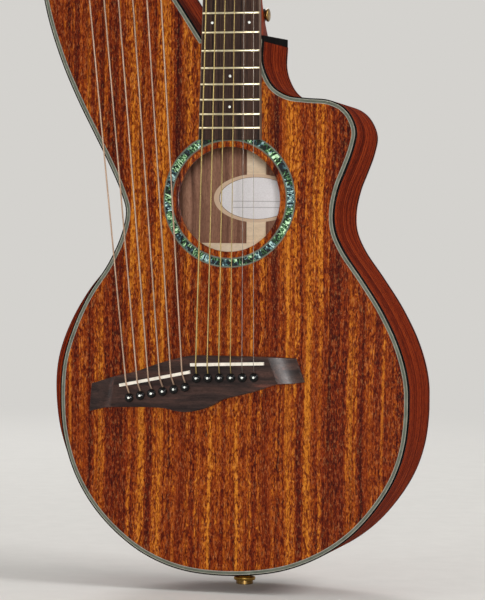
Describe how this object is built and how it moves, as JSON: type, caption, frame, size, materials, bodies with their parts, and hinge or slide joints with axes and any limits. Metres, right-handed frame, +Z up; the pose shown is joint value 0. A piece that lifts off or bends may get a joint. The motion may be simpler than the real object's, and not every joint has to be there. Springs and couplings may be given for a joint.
{
  "type": "harp guitar",
  "caption": "Acoustic harp guitar: hollow cutaway body that runs on into a hollow harp arm, with a fretted neck, worm-geared tuners and a wide asymmetric bridge.",
  "frame": {"origin": "the nut's front edge, on the neck's centre line, in the plane of the soundboard's face", "axes": "+X towards the treble side, +Y from the soundboard into the body, +Z up the neck"},
  "size_m": [0.3967, 0.1286, 1.0069],
  "materials": {
    "top_wood": "gloss lacquer, orange-red with strong grain",
    "body_wood": "gloss lacquer, red-brown",
    "neck_wood": "gloss lacquer, red-brown",
    "inside_wood": "bare, unfinished",
    "rosewood": "oiled, dark",
    "binding": "polished grey-green",
    "shell": "polished abalone shell",
    "bone": "polished bone",
    "gold_metal": "polished gold plate",
    "wound_string": "wound bronze",
    "steel_string": "plain steel"
  },
  "bodies": {
    "root": {"arm_inner_side": "body_wood", "back_bracing": "inside_wood", "back_plate": "body_wood", "bass_side": "body_wood", "bass_tuner_plate": "gold_metal", "bridge": "rosewood", "end_pin": "gold_metal", "fretboard": "rosewood", "harp_head": "neck_wood", "harp_nut": "bone", "harp_saddle": "bone", "harp_string_1": "wound_string", "harp_string_2": "wound_string", "harp_string_3": "wound_string", "harp_string_4": "wound_string", "harp_string_5": "wound_string", "harp_string_6": "wound_string", "harp_tuner_plate": "gold_metal", "main_saddle": "bone", "main_string_1": "steel_string", "main_string_2": "steel_string", "main_string_3": "wound_string", "main_string_4": "wound_string", "main_string_5": "wound_string", "main_string_6": "wound_string", "neck": "neck_wood", "neck_block": "inside_wood", "nut": "bone", "rosette": "shell", "soundboard": "top_wood", "strap_button": "gold_metal", "tail_block": "inside_wood", "top_binding": "binding", "top_bracing": "inside_wood", "treble_side": "body_wood", "treble_tuner_plate": "gold_metal"},
    "treble_tuner_button_1": {"treble_tuner_button_1": "gold_metal"},
    "treble_tuner_post_1": {"treble_tuner_post_1": "gold_metal"},
    "treble_tuner_button_2": {"treble_tuner_button_2": "gold_metal"},
    "treble_tuner_post_2": {"treble_tuner_post_2": "gold_metal"},
    "treble_tuner_button_3": {"treble_tuner_button_3": "gold_metal"},
    "treble_tuner_post_3": {"treble_tuner_post_3": "gold_metal"},
    "bass_tuner_button_1": {"bass_tuner_button_1": "gold_metal"},
    "bass_tuner_post_1": {"bass_tuner_post_1": "gold_metal"},
    "bass_tuner_button_2": {"bass_tuner_button_2": "gold_metal"},
    "bass_tuner_post_2": {"bass_tuner_post_2": "gold_metal"},
    "bass_tuner_button_3": {"bass_tuner_button_3": "gold_metal"},
    "bass_tuner_post_3": {"bass_tuner_post_3": "gold_metal"},
    "harp_tuner_button_1": {"harp_tuner_button_1": "gold_metal"},
    "harp_tuner_post_1": {"harp_tuner_post_1": "gold_metal"},
    "harp_tuner_button_2": {"harp_tuner_button_2": "gold_metal"},
    "harp_tuner_post_2": {"harp_tuner_post_2": "gold_metal"},
    "harp_tuner_button_3": {"harp_tuner_button_3": "gold_metal"},
    "harp_tuner_post_3": {"harp_tuner_post_3": "gold_metal"},
    "harp_tuner_button_4": {"harp_tuner_button_4": "gold_metal"},
    "harp_tuner_post_4": {"harp_tuner_post_4": "gold_metal"},
    "harp_tuner_button_5": {"harp_tuner_button_5": "gold_metal"},
    "harp_tuner_post_5": {"harp_tuner_post_5": "gold_metal"},
    "harp_tuner_button_6": {"harp_tuner_button_6": "gold_metal"},
    "harp_tuner_post_6": {"harp_tuner_post_6": "gold_metal"}
  },
  "joints": [
    {"name": "treble_tuner_button_1_turn", "type": "hinge", "parent": "root", "child": "treble_tuner_button_1", "pos_m": [0.023, 0.02861, 0.04277], "axis": [1, 0, 0], "continuous": true},
    {"name": "treble_tuner_post_1_turn", "type": "hinge", "parent": "root", "child": "treble_tuner_post_1", "pos_m": [0.023, 0.02271, 0.037], "axis": [0, 0.9744, -0.225], "continuous": true},
    {"name": "treble_tuner_button_2_turn", "type": "hinge", "parent": "root", "child": "treble_tuner_button_2", "pos_m": [0.023, 0.03649, 0.07688], "axis": [1, 0, 0], "continuous": true},
    {"name": "treble_tuner_post_2_turn", "type": "hinge", "parent": "root", "child": "treble_tuner_post_2", "pos_m": [0.023, 0.03059, 0.07111], "axis": [0, 0.9744, -0.225], "continuous": true},
    {"name": "treble_tuner_button_3_turn", "type": "hinge", "parent": "root", "child": "treble_tuner_button_3", "pos_m": [0.023, 0.04436, 0.11098], "axis": [1, 0, 0], "continuous": true},
    {"name": "treble_tuner_post_3_turn", "type": "hinge", "parent": "root", "child": "treble_tuner_post_3", "pos_m": [0.023, 0.03846, 0.10521], "axis": [0, 0.9744, -0.225], "continuous": true},
    {"name": "bass_tuner_button_1_turn", "type": "hinge", "parent": "root", "child": "bass_tuner_button_1", "pos_m": [-0.023, 0.02861, 0.04277], "axis": [-1, 0, 0], "continuous": true},
    {"name": "bass_tuner_post_1_turn", "type": "hinge", "parent": "root", "child": "bass_tuner_post_1", "pos_m": [-0.023, 0.02271, 0.037], "axis": [0, 0.9744, -0.225], "continuous": true},
    {"name": "bass_tuner_button_2_turn", "type": "hinge", "parent": "root", "child": "bass_tuner_button_2", "pos_m": [-0.023, 0.03649, 0.07688], "axis": [-1, 0, 0], "continuous": true},
    {"name": "bass_tuner_post_2_turn", "type": "hinge", "parent": "root", "child": "bass_tuner_post_2", "pos_m": [-0.023, 0.03059, 0.07111], "axis": [0, 0.9744, -0.225], "continuous": true},
    {"name": "bass_tuner_button_3_turn", "type": "hinge", "parent": "root", "child": "bass_tuner_button_3", "pos_m": [-0.023, 0.04436, 0.11098], "axis": [-1, 0, 0], "continuous": true},
    {"name": "bass_tuner_post_3_turn", "type": "hinge", "parent": "root", "child": "bass_tuner_post_3", "pos_m": [-0.023, 0.03846, 0.10521], "axis": [0, 0.9744, -0.225], "continuous": true},
    {"name": "harp_tuner_button_1_turn", "type": "hinge", "parent": "root", "child": "harp_tuner_button_1", "pos_m": [-0.19204, 0.01945, -0.01387], "axis": [-0.7145, 0, 0.6997], "continuous": true},
    {"name": "harp_tuner_post_1_turn", "type": "hinge", "parent": "root", "child": "harp_tuner_post_1", "pos_m": [-0.18717, 0.015, -0.00891], "axis": [0, 1, 0], "continuous": true},
    {"name": "harp_tuner_button_2_turn", "type": "hinge", "parent": "root", "child": "harp_tuner_button_2", "pos_m": [-0.17636, 0.01945, 0.00213], "axis": [-0.7145, 0, 0.6997], "continuous": true},
    {"name": "harp_tuner_post_2_turn", "type": "hinge", "parent": "root", "child": "harp_tuner_post_2", "pos_m": [-0.1715, 0.015, 0.0071], "axis": [0, 1, 0], "continuous": true},
    {"name": "harp_tuner_button_3_turn", "type": "hinge", "parent": "root", "child": "harp_tuner_button_3", "pos_m": [-0.16069, 0.01945, 0.01813], "axis": [-0.7145, 0, 0.6997], "continuous": true},
    {"name": "harp_tuner_post_3_turn", "type": "hinge", "parent": "root", "child": "harp_tuner_post_3", "pos_m": [-0.15583, 0.015, 0.0231], "axis": [0, 1, 0], "continuous": true},
    {"name": "harp_tuner_button_4_turn", "type": "hinge", "parent": "root", "child": "harp_tuner_button_4", "pos_m": [-0.14502, 0.01945, 0.03414], "axis": [-0.7145, 0, 0.6997], "continuous": true},
    {"name": "harp_tuner_post_4_turn", "type": "hinge", "parent": "root", "child": "harp_tuner_post_4", "pos_m": [-0.14016, 0.015, 0.03911], "axis": [0, 1, 0], "continuous": true},
    {"name": "harp_tuner_button_5_turn", "type": "hinge", "parent": "root", "child": "harp_tuner_button_5", "pos_m": [-0.12935, 0.01945, 0.05014], "axis": [-0.7145, 0, 0.6997], "continuous": true},
    {"name": "harp_tuner_post_5_turn", "type": "hinge", "parent": "root", "child": "harp_tuner_post_5", "pos_m": [-0.12448, 0.015, 0.05511], "axis": [0, 1, 0], "continuous": true},
    {"name": "harp_tuner_button_6_turn", "type": "hinge", "parent": "root", "child": "harp_tuner_button_6", "pos_m": [-0.11367, 0.01945, 0.06615], "axis": [-0.7145, 0, 0.6997], "continuous": true},
    {"name": "harp_tuner_post_6_turn", "type": "hinge", "parent": "root", "child": "harp_tuner_post_6", "pos_m": [-0.10881, 0.015, 0.07111], "axis": [0, 1, 0], "continuous": true}
  ],
  "couplings": [
    {"joint": "treble_tuner_post_1_turn", "follows": "treble_tuner_button_1_turn", "ratio": -0.071429},
    {"joint": "treble_tuner_post_2_turn", "follows": "treble_tuner_button_2_turn", "ratio": -0.071429},
    {"joint": "treble_tuner_post_3_turn", "follows": "treble_tuner_button_3_turn", "ratio": -0.071429},
    {"joint": "bass_tuner_post_1_turn", "follows": "bass_tuner_button_1_turn", "ratio": -0.071429},
    {"joint": "bass_tuner_post_2_turn", "follows": "bass_tuner_button_2_turn", "ratio": -0.071429},
    {"joint": "bass_tuner_post_3_turn", "follows": "bass_tuner_button_3_turn", "ratio": -0.071429},
    {"joint": "harp_tuner_post_1_turn", "follows": "harp_tuner_button_1_turn", "ratio": -0.071429},
    {"joint": "harp_tuner_post_2_turn", "follows": "harp_tuner_button_2_turn", "ratio": -0.071429},
    {"joint": "harp_tuner_post_3_turn", "follows": "harp_tuner_button_3_turn", "ratio": -0.071429},
    {"joint": "harp_tuner_post_4_turn", "follows": "harp_tuner_button_4_turn", "ratio": -0.071429},
    {"joint": "harp_tuner_post_5_turn", "follows": "harp_tuner_button_5_turn", "ratio": -0.071429},
    {"joint": "harp_tuner_post_6_turn", "follows": "harp_tuner_button_6_turn", "ratio": -0.071429}
  ]
}
